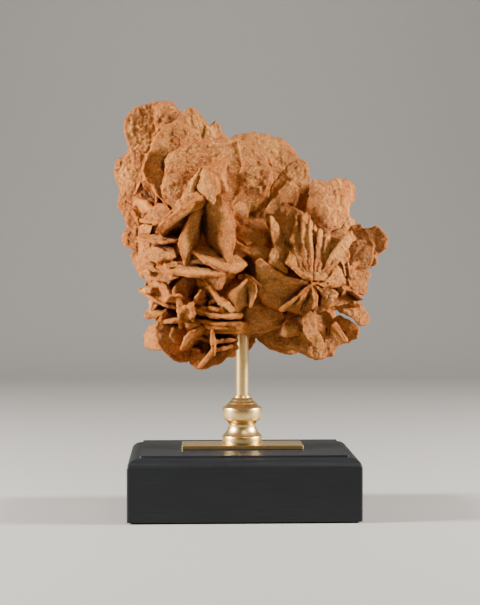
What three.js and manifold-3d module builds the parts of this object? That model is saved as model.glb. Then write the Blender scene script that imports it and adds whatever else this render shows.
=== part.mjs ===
// A gypsum sand rose held on a turned brass stem over a black wooden base.
// Millimetres, +Z up, the front faces -Y, and the origin is the middle of the base's underside.
import * as THREE from "three";
import { mergeVertices } from "three/addons/utils/BufferGeometryUtils.js";
import Module from "manifold-3d";

const wasm = await Module();
wasm.setup();

// ---- Driving dimensions ----------------------------------------------------------------------
const FIT_GAP = 0.3; // clearance kept wherever one piece is cut by, or passes through, another

const BASE = { width: 150, depth: 100, bottom: 1, wallTop: 35, roundTop: 41.25, top: 42.5, roundRun: 8 };
const FELT = { inset: 3, thick: BASE.bottom };
const POCKET = { radius: 12, top: 13 }; // counterbore under the base that hides the nut
const PLATE = { width: 80, depth: 26.5, thick: 2.75 };
const ROD = { radius: 4.25, top: 158, studRadius: 3, studBottom: 4.5 };
const WASHER = { radius: 9, thick: 1.5 };
const NUT = { acrossFlats: 10, thick: 5 };
const PLATE_TOP = BASE.top + PLATE.thick;

const STONE = { color: "#cf9567", roughness: 0.85, metalness: 0 };
const BRASS = { color: "#c9a65c", roughness: 0.32, metalness: 1 };
const STEEL = { color: "#8d8f92", roughness: 0.4, metalness: 1 };
const EBONISED = { color: "#232528", roughness: 0.6, metalness: 0 };
const BAIZE = { color: "#17181a", roughness: 1, metalness: 0 };

// ---- Turning three.js geometry into solids and back ------------------------------------------
function solidOf(geometry) {
  const bare = geometry.clone();
  bare.deleteAttribute("normal");
  bare.deleteAttribute("uv");
  const merged = mergeVertices(bare, 1e-4);
  const corners = [];
  for (let i = 0; i < merged.index.count; i += 3) {
    const [a, b, c] = [0, 1, 2].map((k) => merged.index.getX(i + k));
    if (a !== b && b !== c && a !== c) corners.push(a, b, c);
  }
  return new wasm.Manifold(
    new wasm.Mesh({
      numProp: 3,
      vertProperties: merged.attributes.position.array,
      triVerts: new Uint32Array(corners),
    }),
  );
}

function geometryOf(solid) {
  const mesh = solid.getMesh();
  return new THREE.BufferGeometry()
    .setAttribute("position", new THREE.BufferAttribute(mesh.vertProperties, 3))
    .setIndex(new THREE.BufferAttribute(mesh.triVerts, 1));
}

function part(name, solid, finish) {
  const mesh = new THREE.Mesh(geometryOf(solid), new THREE.MeshStandardMaterial(finish));
  mesh.geometry.computeVertexNormals();
  mesh.name = name;
  return mesh;
}

// An upright cylinder between two heights, on the stem's axis.
function post(radius, bottom, top, sides = 24) {
  const cylinder = new THREE.CylinderGeometry(radius, radius, top - bottom, sides);
  return solidOf(cylinder.rotateX(Math.PI / 2).translate(0, 0, (top + bottom) / 2));
}

function turned(profile, sides) {
  const points = profile.map(([radius, height]) => new THREE.Vector2(radius, height));
  return solidOf(new THREE.LatheGeometry(points, sides).rotateX(Math.PI / 2));
}

// ---- The stand -------------------------------------------------------------------------------
// A rectangular block whose sides step in by the given inset at each height.
function steppedBlock(width, depth, levels) {
  const profile = [[null, levels[0][1]], ...levels, [null, levels.at(-1)[1]]];
  const lathe = new THREE.LatheGeometry(
    profile.map(([inset], row) => new THREE.Vector2(inset === null ? 0 : 1, row)),
    4,
  );
  const position = lathe.getAttribute("position");
  for (let i = 0; i < position.count; i++) {
    const side = Math.floor(i / profile.length) % 4;
    const [inset, height] = profile[i % profile.length];
    const reach = inset === null ? [0, 0] : [width / 2 - inset, depth / 2 - inset];
    const across = [1, 1, -1, -1][side];
    const along = [1, -1, -1, 1][side];
    position.setXYZ(i, reach[0] * across, reach[1] * along, height);
  }
  const solid = solidOf(lathe);
  return solid.volume() > 0 ? solid : solidOf(lathe.scale(-1, 1, 1));
}

function woodBase() {
  const steps = 5;
  const levels = [[0, BASE.bottom]];
  for (let i = 0; i <= steps; i++) {
    const turn = (i / steps) * (Math.PI / 2);
    const rise = (BASE.roundTop - BASE.wallTop) * Math.sin(turn);
    levels.push([BASE.roundRun * (1 - Math.cos(turn)), BASE.wallTop + rise]);
  }
  levels.push([BASE.roundRun + 0.25, BASE.top]);
  return steppedBlock(BASE.width, BASE.depth, levels)
    .subtract(post(ROD.studRadius + FIT_GAP, -1, BASE.top + 1))
    .subtract(post(POCKET.radius, -1, POCKET.top));
}

function hexNut() {
  const radius = NUT.acrossFlats / Math.sqrt(3);
  const top = POCKET.top - WASHER.thick;
  return post(radius, top - NUT.thick, top, 6).subtract(post(ROD.studRadius + FIT_GAP, 0, POCKET.top));
}

// Radius and height above the brass plate: a drum, a hollowed neck, a wider drum and a ringed cone.
function turnedCollar() {
  const bore = ROD.radius + FIT_GAP;
  const outline = [
    [bore, 0], [13, 0], [13.2, 0.4], [13.2, 5.4], [11.2, 7.4], [9.7, 10], [9.3, 12.2], [9.7, 14],
    [10.7, 15.6], [12.6, 16.2], [13.2, 16.8], [13.2, 24], [12.8, 24.5], [11.6, 24.7], [9.8, 26.6],
    [9.4, 26.8], [8, 28.6], [7.6, 28.8], [6.2, 30.6], [5.8, 30.8], [5.2, 32.5], [bore, 32.5], [bore, 0],
  ];
  return turned(outline.map(([radius, rise]) => [radius, PLATE_TOP + rise]), 24);
}

function brassRod() {
  const profile = [
    [0, ROD.studBottom], [ROD.studRadius - 0.5, ROD.studBottom], [ROD.studRadius, ROD.studBottom + 0.5],
    [ROD.studRadius, PLATE_TOP], [ROD.radius, PLATE_TOP], [ROD.radius, ROD.top - 1],
    [ROD.radius - 1, ROD.top], [0, ROD.top],
  ];
  return turned(profile, 20);
}

// ---- Crystals --------------------------------------------------------------------------------
// Each gypsum crystal is a lens-shaped blade. Its rim is given either point by point in space, or
// as it looks square on from one side: "front" as x, z, "side" as y, z, or "top" as x, y. at is
// then its place along that line of sight at its root (its middle unless one is given), and lean
// is how far it shifts along that line for each millimetre away from the root.
const AXES = { front: [0, 2, 1], side: [1, 2, 0], top: [0, 1, 2] };
const THIN_EDGE = 1.5;

function middleOf(points) {
  return points[0].map((_, axis) => points.reduce((sum, point) => sum + point[axis], 0) / points.length);
}

function rimOf(blade) {
  if (!blade.seen) return blade.rim.map((point) => new THREE.Vector3(...point));
  const [first, second, sight] = AXES[blade.seen];
  const [rootP, rootQ] = blade.root ?? middleOf(blade.rim);
  return blade.rim.map(([p, q]) => {
    const point = [0, 0, 0];
    point[first] = p;
    point[second] = q;
    point[sight] = blade.at + blade.lean[0] * (p - rootP) + blade.lean[1] * (q - rootQ);
    return new THREE.Vector3(...point);
  });
}

// The way the rim's loop faces, from the areas it sweeps about its middle.
function facingOf(rim, centre) {
  const facing = new THREE.Vector3();
  rim.forEach((point, i) => {
    const next = rim[(i + 1) % rim.length];
    facing.add(point.clone().sub(centre).cross(next.clone().sub(centre)));
  });
  return facing.normalize();
}

// The lens is a lathe of a few rows, whose rim is then pulled out to the crystal's outline. Fine
// blades have a point between each two rim points and a fuller belly.
function lens(blade, grow = 0) {
  const points = rimOf(blade);
  const centre = new THREE.Vector3(...middleOf(points.map((point) => point.toArray())));
  const facing = facingOf(points, centre);
  const loop = new THREE.CatmullRomCurve3(points, true, "centripetal");
  const sides = points.length * (blade.fine ? 2 : 1);
  const half = blade.thick / 2;
  const edge = Math.min(blade.edge ?? THIN_EDGE, blade.thick) / 2;
  const shoulder = half * 0.64 + edge * 0.36;
  const upper = blade.fine ? [[1, edge], [0.6, shoulder], [0, half]] : [[1, edge], [0, half]];
  const rows = [...upper.map(([share, rise]) => [share, -rise]).reverse(), ...upper];
  const lathe = new THREE.LatheGeometry(rows.map(([share], row) => new THREE.Vector2(share, row)), sides);
  const position = lathe.getAttribute("position");
  for (let i = 0; i < position.count; i++) {
    const [share, height] = rows[i % rows.length];
    const spoke = loop.getPoint((Math.floor(i / rows.length) % sides) / sides).sub(centre);
    const reach = share * (1 + grow / spoke.length());
    const rise = height + Math.sign(height) * grow;
    const point = centre.clone().addScaledVector(spoke, reach).addScaledVector(facing, rise);
    position.setXYZ(i, point.x, point.y, point.z);
  }
  const solid = solidOf(lathe);
  if (solid.volume() > 0) return solid;
  lathe.index.array.reverse();
  return solidOf(lathe);
}

// An uneven oval outline: middle, half sizes, turn in degrees, and how the rim wanders in and out.
function oval(middle, halves, turn = 0, wander = 0, count = 11) {
  const spin = THREE.MathUtils.degToRad(turn);
  return Array.from({ length: count }, (_, i) => {
    const angle = (i / count) * 2 * Math.PI;
    const slow = Math.sin(2 * angle + wander) + Math.sin(3 * angle + 2.3 * wander);
    const reach = 1 + 0.07 * (slow + Math.cos(4 * angle - wander));
    const [u, v] = [halves[0] * reach * Math.cos(angle), halves[1] * reach * Math.sin(angle)];
    const [p, q] = [u * Math.cos(spin) - v * Math.sin(spin), u * Math.sin(spin) + v * Math.cos(spin)];
    return [middle[0] + p, middle[1] + q];
  });
}

// A rosette on the sides: ovals that grew through one middle, each tipped and turned on from the
// one before by the golden angle.
function rosette(middle, reach, count, start) {
  return Array.from({ length: count }, (_, i) => {
    const spin = start + i * 2.4;
    const tip = 0.5 + 0.9 * Math.sin(start + 1.7 * i) ** 2;
    const facing = new THREE.Vector3().setFromSphericalCoords(1, tip, spin);
    const turned = new THREE.Quaternion().setFromUnitVectors(new THREE.Vector3(0, 1, 0), facing);
    const halves = [reach * (1 - 0.1 * i), reach * (0.82 - 0.08 * i)];
    const rim = oval([0, 0], halves, 40 * i, start + i, 9).map(([p, q]) => {
      const point = new THREE.Vector3(p, 0, q).applyQuaternion(turned).add(new THREE.Vector3(...middle));
      return point.toArray();
    });
    return free(4.2 - 0.3 * i, rim);
  });
}

const front = (at, lean, thick, rim, more) => ({ seen: "front", at, lean, thick, rim, ...more });
const side = (at, lean, thick, rim, more) => ({ seen: "side", at, lean, thick, rim, ...more });
const top = (at, lean, thick, rim, more) => ({ seen: "top", at, lean, thick, rim, ...more });
const free = (thick, rim, more) => ({ thick, rim, ...more });

// Crystals that grew through one another share a name and make one piece. The heart and the ones
// that stand proud come first and keep their whole shape; each later one is cut back where it
// meets them.
const ROSE = {
  // The close-grown heart the blades stand out from, with the stem set in its lower end
  heart: [
    front(21, [0, 0], 24, oval([-20, 208], [36, 30], 10, 1), { edge: 9 }),
    front(2, [0, 0], 32, oval([-16, 186], [26, 22], 0, 3), { edge: 9 }),
    front(8, [0, 0], 38, oval([32, 166], [29, 31], 0, 4), { edge: 9 }),
    front(2, [0, 0], 40, oval([-29, 156], [25, 32], 0, 2), { edge: 9 }),
    front(1, [0, 0], 34, oval([6, 138], [40, 18], 0, 5), { edge: 9 }),
    front(-19, [0, 0.3], 36, oval([42, 151], [19, 18], 0, 1), { edge: 14 }),
    front(-9, [0, 0.2], 32, oval([44, 125], [18, 13], 0, 2), { edge: 10 }),
    front(0, [0.1, 0.1], 25, oval([50, 194], [13, 17], 0, 3), { edge: 5 }),
  ],

  // The steep hollow rosette in the middle of the front
  pyramid_right_blade: [
    free(3.8, [[-24.8, -31, 228], [-19.5, -34, 220.5], [-15.8, -36, 211.7], [-13, -38, 205],
      [-9.2, -40, 197.7], [-7, -41, 189.7], [-7, -41, 182], [-8.1, -41, 173.5], [-9.7, -40, 165.3],
      [-16, -31, 169], [-22, -24, 177], [-26, -19, 188], [-28.5, -18, 200], [-31, -22, 212],
      [-29, -27, 221]], { edge: 1.8 }),
    free(3, [[-25, -32, 227], [-20, -35, 219], [-17, -37, 211], [-19, -38, 203], [-23, -37, 207],
      [-28, -35, 210.5], [-31.5, -33, 213], [-28, -32, 220]]),
  ],
  pyramid_left_blade: [
    free(4.3, [[-26.5, -30, 226], [-34.7, -32, 215.7], [-41, -35, 204.4], [-50, -38, 194],
      [-57, -40, 184.5], [-51, -41, 190], [-43, -41, 196], [-34, -40, 201], [-26, -38, 205],
      [-22.6, -35, 209], [-27, -32, 213]], { edge: 4 }),
    free(3.2, [[-24, -36, 207], [-35, -39, 201.5], [-44, -40, 196], [-55, -39, 186], [-51, -26, 182],
      [-41, -17, 185], [-31, -12, 194], [-23, -16, 202]], { edge: 2.4 }),
  ],
  pyramid_inner_blade: [
    free(3.5, [[-34.7, -35, 195.5], [-37.9, -38, 188], [-40.6, -41, 182.7], [-41.2, -42, 176.2],
      [-40.1, -42, 169.2], [-37.4, -40, 161.3], [-34.5, -36, 165], [-32, -30, 172], [-28, -22, 179],
      [-26.4, -18, 188], [-25, -18, 198], [-23.5, -24, 206], [-29, -31, 201.5]]),
  ],
  pyramid_floor_petals: [
    free(2.9, [[-8, -30, 172], [-2.5, -34, 168.7], [2, -40, 163.3], [-1, -43, 161.5], [-7, -46, 158.8],
      [-12, -46, 160], [-21.8, -46, 164.4], [-30.4, -42, 169.8], [-34, -38, 171.7], [-27, -28, 174],
      [-18, -24, 176], [-12, -26, 174.5]]),
    free(2.6, [[-7, -34, 181.6], [-4.6, -36, 178.4], [2, -38, 174], [-2.5, -37, 171.5], [-8, -33, 170],
      [-10, -30, 176]]),
  ],
  main_shelf: [
    top(163.5, [0, 0.3], 4.2, [[-57.5, -30], [-54, -38], [-49, -45], [-38, -49], [-29, -51], [-20, -51],
      [-13.5, -47], [-8, -38], [-8, -20], [-25, -8], [-44, -8], [-54, -18]], { root: [-35, -30] }),
    free(2.4, [[-26, -40, 160], [-13.1, -38, 160], [-12.8, -40, 152.5], [-14.8, -42, 148.5],
      [-17.3, -42, 148.5], [-21, -42, 153]]),
  ],
  stone_block_blade: [
    free(2.9, [[-10.8, -44, 144.4], [-9.6, -44, 147.9], [-4, -42, 152.5], [1.4, -38, 156.2],
      [2, -34, 149], [2, -33, 143], [1, -34, 138], [-6.7, -42, 135]]),
    free(2.4, [[7.1, -42, 151], [7.9, -43, 147.3], [6, -43, 142], [3.7, -42, 137], [1, -34, 140],
      [1, -34, 149], [1.7, -36, 155.4]]),
    free(2.4, [[0.5, -36, 158.8], [6, -37, 154.8], [10.8, -38, 150.6], [8, -30, 147], [1, -30, 151]]),
  ],
  rosette_diagonal_blade: [
    free(2.6, [[-24.7, -38, 155.6], [-18.3, -42, 147.3], [-12, -44, 141], [-6.5, -45, 135],
      [-12, -38, 134], [-21, -30, 139], [-26, -28, 147]]),
    free(2.4, [[-32.8, -40, 139.5], [-30, -40, 144], [-27.5, -38, 148.6], [-23, -30, 149],
      [-21, -28, 142], [-26, -34, 137.5]]),
    free(2.2, [[-26.5, -38, 144], [-25.2, -36, 150], [-24.6, -33, 155], [-21, -26, 154],
      [-20, -27, 145]]),
  ],

  // The pleated fan on the right of the front, its blades meeting at one root
  fan_lower_left_blade: [
    front(-36, [-0.1, -0.35], 4.6, [[6.2, 165.8], [9.6, 168], [12, 167], [17, 163.6], [25.7, 158.1],
      [30.6, 155.6], [38.1, 153.7], [41.5, 152], [36.2, 148], [30.6, 142], [23, 135.5], [16.4, 137],
      [11.4, 140.7], [8.3, 144.4], [7, 148.2], [8.9, 158]], { root: [40, 152] }),
  ],
  fan_lower_pleats: [
    free(2.6, [[43, -40, 151], [36, -44, 146], [29, -46, 140.5], [22.4, -44, 135.5], [27, -36, 136],
      [35, -34, 142], [41, -34, 148]]),
    free(2.7, [[43, -35, 151], [30, -37, 142], [25, -36, 136], [37, -32, 132], [48, -34, 132],
      [57, -34, 137], [60, -34, 147]]),
    free(2.6, [[43, -40, 151], [37, -45, 144], [31.7, -45, 138.2], [35, -37, 134.5], [41, -34, 142]]),
    free(2.4, [[43.5, -40, 151.5], [45.4, -44, 144], [45.7, -45, 137.2], [41, -40, 132], [36.5, -35, 136],
      [40, -34, 145]]),
    free(2.4, [[43.5, -39, 151.5], [49, -42, 148], [54.8, -42, 149], [60.6, -40, 145.7], [57, -42, 140],
      [53.6, -42, 136.2], [48, -38, 136], [45, -34, 143]]),
    free(2.4, [[42, -39, 152.6], [51.7, -45, 149.8], [59, -44, 151], [64.5, -40, 152.2], [60, -33, 152.4],
      [50, -31, 153.6]]),
  ],
  fan_upper_ridge: [
    free(3.4, [[42, -37, 155], [28, -33, 166], [27, -28, 176], [31, -22, 188], [34.5, -19, 195],
      [44, -18, 197], [46, -24, 181], [46, -32, 165]]),
    free(2.6, [[41.6, -41, 153], [34, -41, 159], [27.4, -39, 166], [29, -33, 174], [33, -30, 176],
      [37, -34, 166], [40, -38, 159]]),
    free(2.8, [[42, -41, 153], [36, -39, 163], [32, -34, 173], [31.4, -29, 183], [34, -24, 195.4],
      [37.4, -20, 190], [38, -27, 178], [40, -34, 165]]),
    free(2.8, [[42.6, -41, 153], [38.4, -38, 166], [37, -31, 182], [38, -24, 196.6], [41.4, -22, 198.4],
      [42, -22, 190], [41.6, -28, 178], [42.4, -35, 164]]),
    free(2.8, [[43, -41, 153], [42, -38, 166], [42, -31, 182], [43, -24, 194], [45.4, -18, 192],
      [45.4, -24, 182], [44.6, -32, 168]]),
    front(-25, [-0.2, 0.3], 3.3, [[18, 195.5], [22.6, 197.3], [26.3, 195.4], [28.2, 199], [33.1, 201.6],
      [38.6, 198], [39.5, 192], [38, 182], [33, 176], [26, 178.5], [24, 186], [19.5, 191.6]],
      { root: [36, 184] }),
  ],
  fan_left_pleat: [
    front(-27, [0.5, 0.2], 2.4, [[17, 195.5], [20, 194], [24.5, 186], [27, 179], [23.2, 176], [20, 175],
      [17.4, 186]]),
    front(-30, [0.2, 0.3], 2.7, [[20.7, 180], [26, 179], [30, 172], [28, 163], [22, 166], [18.6, 173]]),
    front(-34, [0.2, 0.3], 2.4, [[16, 170.2], [18.2, 175.6], [20.7, 172.9], [23.6, 168], [27.6, 163.2],
      [28, 158.6], [21.3, 161.2], [15.6, 164.2]]),
  ],
  fan_right_pleats: [
    free(2.4, [[43.4, -40, 153], [43.2, -33, 166], [44.4, -26, 182.2], [46.7, -20, 190],
      [49.6, -21, 183.5], [49.4, -26, 172.3], [48, -32, 162], [46, -39, 153]]),
    free(2.6, [[44, -41, 153], [44.6, -37, 164], [46, -31, 176], [48.8, -25, 187], [52, -23, 186],
      [51.4, -28, 176], [49, -36, 164]]),
    free(2.7, [[43, -35, 154], [45, -24, 182], [56, -20, 185], [66, -21, 180], [69, -25, 170],
      [62, -33, 157]]),
    free(2.6, [[45, -39, 154], [50.5, -32, 172], [53.3, -26, 182.6], [57, -23, 184], [55.6, -27, 174],
      [50, -38, 156]]),
    free(2.6, [[46, -39, 154], [57, -33, 173], [64, -28, 181], [70.8, -23, 187], [72, -23, 182],
      [66.5, -29, 173], [54, -38, 157]]),
    free(2.4, [[44, -41, 152.8], [47, -37, 159], [49.2, -32, 165.2], [54.4, -31, 166.4], [54.2, -35, 160],
      [52.8, -42, 152.6]]),
    free(2.4, [[51.5, -43, 152.2], [56, -39, 158.7], [59.1, -35, 163.8], [63, -34, 158.7],
      [64.6, -37, 154.5], [64, -42, 151.6]]),
  ],
  fan_right_leaves: [
    free(2.4, [[61.5, -30, 170.6], [64.2, -31, 165], [65.6, -33, 157], [61, -28, 153], [57.5, -23, 163]]),
    free(2.4, [[67, -26, 169], [68.8, -29, 163], [69.7, -31, 156.6], [65, -27, 152], [62, -22, 163]]),
    front(-25, [0.2, 0.35], 3, [[78.9, 160.8], [82.9, 157.3], [80.5, 152], [81.1, 149.5], [77, 145],
      [72, 146], [64, 149], [57, 153], [62, 158], [70.7, 161]]),
    free(2.2, [[64, -29, 148.5], [71, -32, 146.4], [76.6, -32, 141.8], [73, -25, 142], [66, -23, 147]]),
  ],

  // The lower right rosette
  spear_blade: [
    free(2.9, [[36.5, -40, 131], [41, -42, 134.2], [45.2, -42, 132], [45.8, -44, 124], [49.2, -46, 117],
      [50.3, -47, 108.4], [46, -46, 111], [41, -46, 116.5], [37.4, -44, 123]]),
  ],
  bowl_left_blade: [
    front(-30.5, [0.7, 0.3], 3.8, [[21.7, 119.3], [24, 126.7], [30, 130.7], [36, 131.6], [39.7, 124],
      [38, 118.3], [30, 117.3]]),
  ],
  bowl_right_blades: [
    front(-36, [-0.5, 0.3], 2.9, [[54, 127], [62, 130.7], [68, 128.6], [73.3, 123.5], [72, 117],
      [67, 113.3], [60, 115], [53, 120]]),
    front(-33, [0.7, 0.2], 3, [[43.5, 134.5], [55, 132.7], [60, 126], [54, 117.5], [46, 116], [43, 124]]),
    free(2.2, [[57.3, -44, 127], [61.2, -45, 121], [65.8, -44, 114.2], [62, -36, 113], [55, -34, 121]]),
  ],
  ridge_blade: [
    front(-31, [0.2, 0.8], 3, [[58, 149.4], [63, 148.4], [66.6, 145], [70.3, 143.4], [75.2, 138],
      [80.3, 131], [79.5, 127], [75, 124.6], [69, 129], [62, 133], [54, 142]]),
  ],
  bowl_floor_disc: [
    front(-27, [0, 0.5], 4.6, [[19.6, 112], [23, 117.5], [30, 121.5], [39, 122.5], [50, 125.4],
      [58, 125.4], [66, 116], [63, 113], [58, 106], [50, 102.6], [42, 103.4], [33, 108], [26, 110]]),
  ],

  // The stem enters beneath these
  stem_cover_blade: [
    front(-28, [0.1, 0.25], 4.6, [[-1.4, 131.7], [1, 137], [4.8, 139], [10.6, 139.5], [18, 137.8],
      [25, 135.4], [27.4, 130], [24, 126], [16, 123.5], [8, 121], [2, 120.6], [-1, 126]]),
  ],

  // The lower left
  lower_left_disc: [
    front(-29, [0.45, 0.25], 4.6, [[-43.7, 136.6], [-50.1, 135.4], [-54.7, 131.3], [-57, 124.7],
      [-57, 119], [-54.9, 113], [-50.9, 107.2], [-44.3, 103], [-37.2, 102], [-33.6, 106], [-33, 118],
      [-36, 130]]),
    top(128.4, [0.1, 0.1], 2.4, [[-52.2, -38], [-46, -43], [-39.4, -41], [-38, -28], [-49, -26]]),
    front(-28, [-0.6, 0.1], 3, [[-64.5, 118.4], [-61.8, 124], [-56.7, 126.6], [-49, 124], [-48, 112],
      [-53.6, 109.6], [-61.8, 109.6], [-63.6, 112]], { root: [-50, 118] }),
  ],
  middle_left_disc: [
    free(3.5, [[-39.1, -34, 156.4], [-43.2, -37, 152.5], [-44.6, -39, 147.3], [-43.3, -41, 141.5],
      [-41.5, -42, 135.7], [-37.9, -43, 131.4], [-32.3, -42, 128], [-29, -32, 132], [-29, -24, 140],
      [-30, -22, 148], [-34, -26, 156]]),
  ],
  bottom_rosette: [
    front(-26, [0, 0.35], 4.3, [[-44, 116.9], [-42.8, 112], [-35.8, 108.4], [-34.7, 101], [-29.9, 97.9],
      [-22.9, 97.2], [-14, 100.8], [-7.7, 108], [-5.4, 113.2], [-4.5, 116.1], [-7.3, 120.4], [-14, 123],
      [-30, 124], [-40, 121]]),
    free(2.4, [[-40.6, -44, 111.4], [-37.6, -44, 118], [-31, -43, 122.8], [-27, -40, 125.3],
      [-23, -34, 124], [-25, -24, 117], [-34, -26, 110]]),
    side(-19.6, [0, 0], 2.7, [[-46, 114], [-45, 119], [-42, 123.3], [-30, 124], [-22, 114], [-27, 106],
      [-42, 106.2], [-45.5, 110]]),
    free(2.2, [[-28.9, -44, 98.6], [-25, -45, 103], [-21, -45, 109], [-19, -28, 108], [-27, -26, 99]]),
    top(115.6, [0.1, 0], 2.2, [[-19, -42], [-8, -41], [-4.6, -35], [-6, -22], [-19, -22]]),
    top(110.6, [0.2, 0], 2.2, [[-19, -42], [-11, -42], [-7, -36], [-9, -24], [-19, -24]]),
  ],
  lower_middle_shelf: [
    top(135.6, [-0.1, 0.35], 3.5, [[-34.8, -36], [-30, -42], [-24, -46], [-17, -48], [-10, -47],
      [-2.5, -43], [-1, -36], [-5, -24], [-16, -18], [-28, -22]], { root: [-17, -34] }),
  ],
  bottom_shelves: [
    top(128.4, [-0.05, 0.1], 3.6, [[-33.8, -34], [-27, -41], [-18, -45], [-8, -45], [0, -41], [2, -30],
      [-2, -14], [-18, -8], [-30, -16]], { edge: 2 }),
    top(125.4, [-0.02, 0.1], 3.6, [[-31, -34], [-24, -41], [-14, -44], [-5, -43], [1, -38], [2, -26],
      [-4, -12], [-18, -8], [-28, -18]], { edge: 2 }),
    top(122.6, [0.02, 0.1], 3.4, [[-26, -34], [-19, -40], [-10, -42], [-3, -40], [1.5, -34], [1, -22],
      [-6, -12], [-18, -12]], { edge: 2 }),
    free(2.4, [[-42.8, -38, 135.5], [-41.6, -40, 130], [-35.6, -42, 124], [-27.7, -40, 124.5],
      [-29, -34, 130], [-36, -34, 134]]),
  ],
  left_low_shelf: [
    top(144, [-0.33, 0.2], 3.8, [[-68.6, -16], [-64, -25], [-58, -32], [-50, -37], [-43, -36], [-38, -26],
      [-38, -8], [-50, 4], [-62, 0]], { root: [-56, -18] }),
    free(2.4, [[-50.7, -36, 154], [-48, -38, 148], [-45.3, -39, 142], [-52, -32, 139], [-58, -24, 144],
      [-58, -22, 153], [-54, -28, 156]]),
  ],
  left_second_shelf: [
    top(135, [0.15, 0.35], 3.5, [[-63.4, -25], [-56, -30], [-50, -30], [-45, -26], [-42, -14], [-46, -2],
      [-57, -4], [-63, -14]], { root: [-53, -18] }),
  ],
  left_ridges: [
    front(-24, [-0.3, 0.8], 3, [[-57, 178], [-60.2, 173.8], [-64.8, 169.4], [-61.5, 166.4], [-52, 164],
      [-43, 168], [-44, 176]]),
    front(-26, [-0.3, 0.8], 3, [[-61, 168], [-64.4, 161], [-58.8, 155.2], [-49.7, 153.6], [-42, 156],
      [-42, 164], [-51, 169]], { root: [-52, 171] }),
  ],
  left_upper_shelf: [
    top(181.6, [0, 0.22], 4.3, [[-69, -19], [-62, -30], [-56, -35], [-49, -38], [-43, -37], [-40, -33],
      [-35, -20], [-37, -4], [-52, 6], [-66, 0]], { root: [-52, -22] }),
  ],
  left_top_shelf: [
    top(193.4, [-0.03, 0.1], 3.3, [[-67.4, -9], [-62, -20], [-55, -26], [-49, -26], [-42, -20], [-37, -2],
      [-50, 12], [-65, 6]], { root: [-53, -8] }),
    front(-14, [-0.2, 0.4], 2.6, [[-65, 194], [-60.6, 200.6], [-58, 200], [-54.4, 204.4], [-50.4, 203.8],
      [-47.6, 200.9], [-44, 195], [-56, 191]]),
  ],
  left_column: [
    front(-12, [-0.5, 0], 5.3, [[-68.4, 173.5], [-67.6, 190], [-60, 192.6], [-48, 190], [-43, 176],
      [-43, 158], [-50, 147], [-60.6, 149], [-62, 155], [-64.6, 160], [-67.8, 165.5]], { edge: 3 }),
  ],

  // The tall crown
  crown_centre: [
    front(-4, [0.03, 0.1], 6.1, [[-51.4, 233], [-47, 239.4], [-39, 242.4], [-33, 246], [-20, 245.4],
      [-10, 247.4], [0, 245.4], [7.4, 244.2], [16.4, 236], [19.4, 230], [18, 215], [14, 196], [2, 190],
      [-16, 190], [-35, 194], [-48, 204], [-53.4, 215], [-50, 224]], { edge: 2.6, fine: true }),
    front(-5.6, [0.03, 0.1], 3.8, [[-4, 246], [3, 245], [8, 243], [15, 235], [18, 228], [16.5, 215],
      [12.5, 201], [4, 197], [-6, 205], [-2, 216], [0.6, 230]], { edge: 1.8 }),
    front(-6.4, [0.03, 0.1], 3.8, [[-50.6, 231], [-46, 236], [-38, 238], [-31, 235], [-28.4, 226],
      [-33, 215], [-44, 207], [-52.6, 213], [-49.6, 223]], { edge: 1.8 }),
    free(2.7, [[-9.7, -17, 235.4], [-14.3, -19, 233], [-22.4, -22, 228], [-24, -18, 221], [-16, -5, 208],
      [-8, -3, 206], [-11, -6, 224]]),
  ],
  middle_blades: [
    front(-15, [0.1, 0.7], 3, [[-9.6, 198.2], [-5.2, 200.8], [-0.9, 201], [3, 198.4], [7.2, 195.6],
      [12.7, 195.6], [15.3, 192.1], [17.8, 185.3], [19, 179.4], [12, 177], [2, 182], [-6, 188]]),
    front(-24, [0.1, 0.7], 3, [[-2.6, 184.3], [-0.3, 185.8], [5.2, 182.2], [11.9, 177.6], [17.8, 174.4],
      [16.4, 166.5], [8, 168], [0, 172], [-6, 178]]),
    front(-22, [0.2, 0.7], 2.4, [[-2.9, 189.1], [-0.3, 190.4], [4.2, 188], [7.4, 184.3], [9.4, 179],
      [2, 176], [-4, 182]]),
    front(-13, [0, 0.3], 3.8, [[-6.8, 203], [-2.5, 206.4], [2.6, 205], [4.9, 200.9], [3, 195],
      [-4, 194]]),
  ],
  crown_right: [
    front(0, [0.1, 0.15], 4.6, [[30, 230], [38.7, 235.5], [44, 231], [45.2, 222], [43.4, 212], [37, 204],
      [28, 196], [16, 198], [14.5, 208], [20, 218], [25, 224]]),
    front(-5, [0.5, 0.5], 2.4, [[14.4, 199.6], [20.2, 207], [25.4, 211.8], [28.5, 211.6], [27, 207],
      [24, 200.6], [19, 196.5]], { root: [27, 207] }),
  ],
  crown_middle: [
    front(8, [0.35, 0.05], 5.3, [[-40, 264.5], [-47, 258.6], [-52, 255.4], [-56.6, 251], [-59.6, 245],
      [-64.6, 234], [-66.8, 226], [-64.4, 219.6], [-60, 216.6], [-55, 209], [-50, 204], [-38, 203],
      [-26, 212], [-19, 228], [-17, 245], [-22, 258.6], [-27, 263], [-32, 267.6], [-37, 268.6]],
      { edge: 4 }),
    front(16, [0.5, 0], 2.4, [[-24, 257], [-19.6, 258], [-17, 260.6], [-15.6, 258], [-14, 250],
      [-14, 236], [-20, 232], [-27, 244]]),
  ],
  crown_left: [
    front(22, [0.1, -0.05], 6.1, [[-78.4, 256], [-76.4, 263], [-73, 268.4], [-70, 270.4], [-62, 272.4],
      [-54, 274.4], [-46.4, 273.6], [-40, 267], [-36, 252], [-38, 232], [-45, 215], [-56, 206],
      [-66, 216], [-72.8, 229], [-73.4, 237], [-77.4, 250]], { edge: 2.6 }),
    front(18.5, [0.05, 0], 4.6, [[-58, 260], [-57.6, 269], [-54, 273.4], [-48, 273], [-43, 270],
      [-40, 262], [-43, 252], [-51, 250], [-57, 253]], { edge: 2.4 }),
  ],
  crown_right_back: [
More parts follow.
